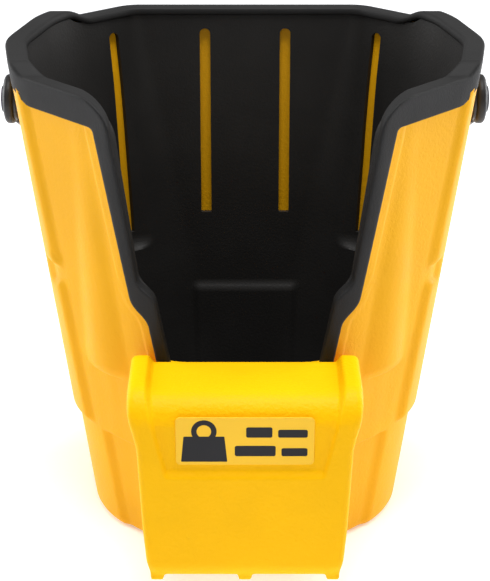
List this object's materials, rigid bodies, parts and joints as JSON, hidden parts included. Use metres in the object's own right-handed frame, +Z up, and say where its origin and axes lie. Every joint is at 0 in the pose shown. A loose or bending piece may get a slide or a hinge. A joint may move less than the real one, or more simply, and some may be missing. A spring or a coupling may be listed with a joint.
{
  "type": "hanging tool bucket",
  "caption": "Tapered two-layer tool bucket with a V-shaped front opening, a rim guard, a front hook that hangs on a rail, and a folding bail handle.",
  "frame": {"origin": "centre of the flat base, on the surface the bucket stands on", "axes": "+Z up, -Y towards the hook at the front, +X to the right of someone facing the hook"},
  "size_m": [0.2346, 0.227, 0.238],
  "materials": {
    "shell_yellow": "fine moulded grain, warm yellow",
    "liner_black": "fine moulded grain, black",
    "guard_black": "soft matt moulded edge guard, charcoal",
    "hook_yellow": "moulded grain, saturated yellow",
    "label_yellow": "thin printed film, satin",
    "rivet_steel": "zinc plated, satin",
    "rivet_plastic": "moulded, black",
    "handle_black": "moulded, charcoal",
    "grip_rubber": "soft sleeve, matt",
    "pin_steel": "black coated steel",
    "washer_plastic": "smooth, black",
    "retainer_plastic": "smooth, black"
  },
  "bodies": {
    "bucket": {"outer_shell": "shell_yellow", "inner_liner": "liner_black", "rim_guard": "guard_black", "front_hook": "hook_yellow", "load_label": "label_yellow", "hook_rivets": "rivet_steel", "floor_rivets": "rivet_plastic", "pivot_pin_left": "pin_steel", "pivot_pin_right": "pin_steel", "pivot_washer_left": "washer_plastic", "pivot_washer_right": "washer_plastic", "pin_retainer_left": "retainer_plastic", "pin_retainer_right": "retainer_plastic"},
    "handle": {"bail_handle": "handle_black", "handle_grip": "grip_rubber"}
  },
  "joints": [
    {"name": "handle_swing", "type": "hinge", "parent": "bucket", "child": "handle", "pos_m": [0, 0.008, 0.206], "axis": [1, 0, 0], "range_deg": [0, 180]}
  ]
}
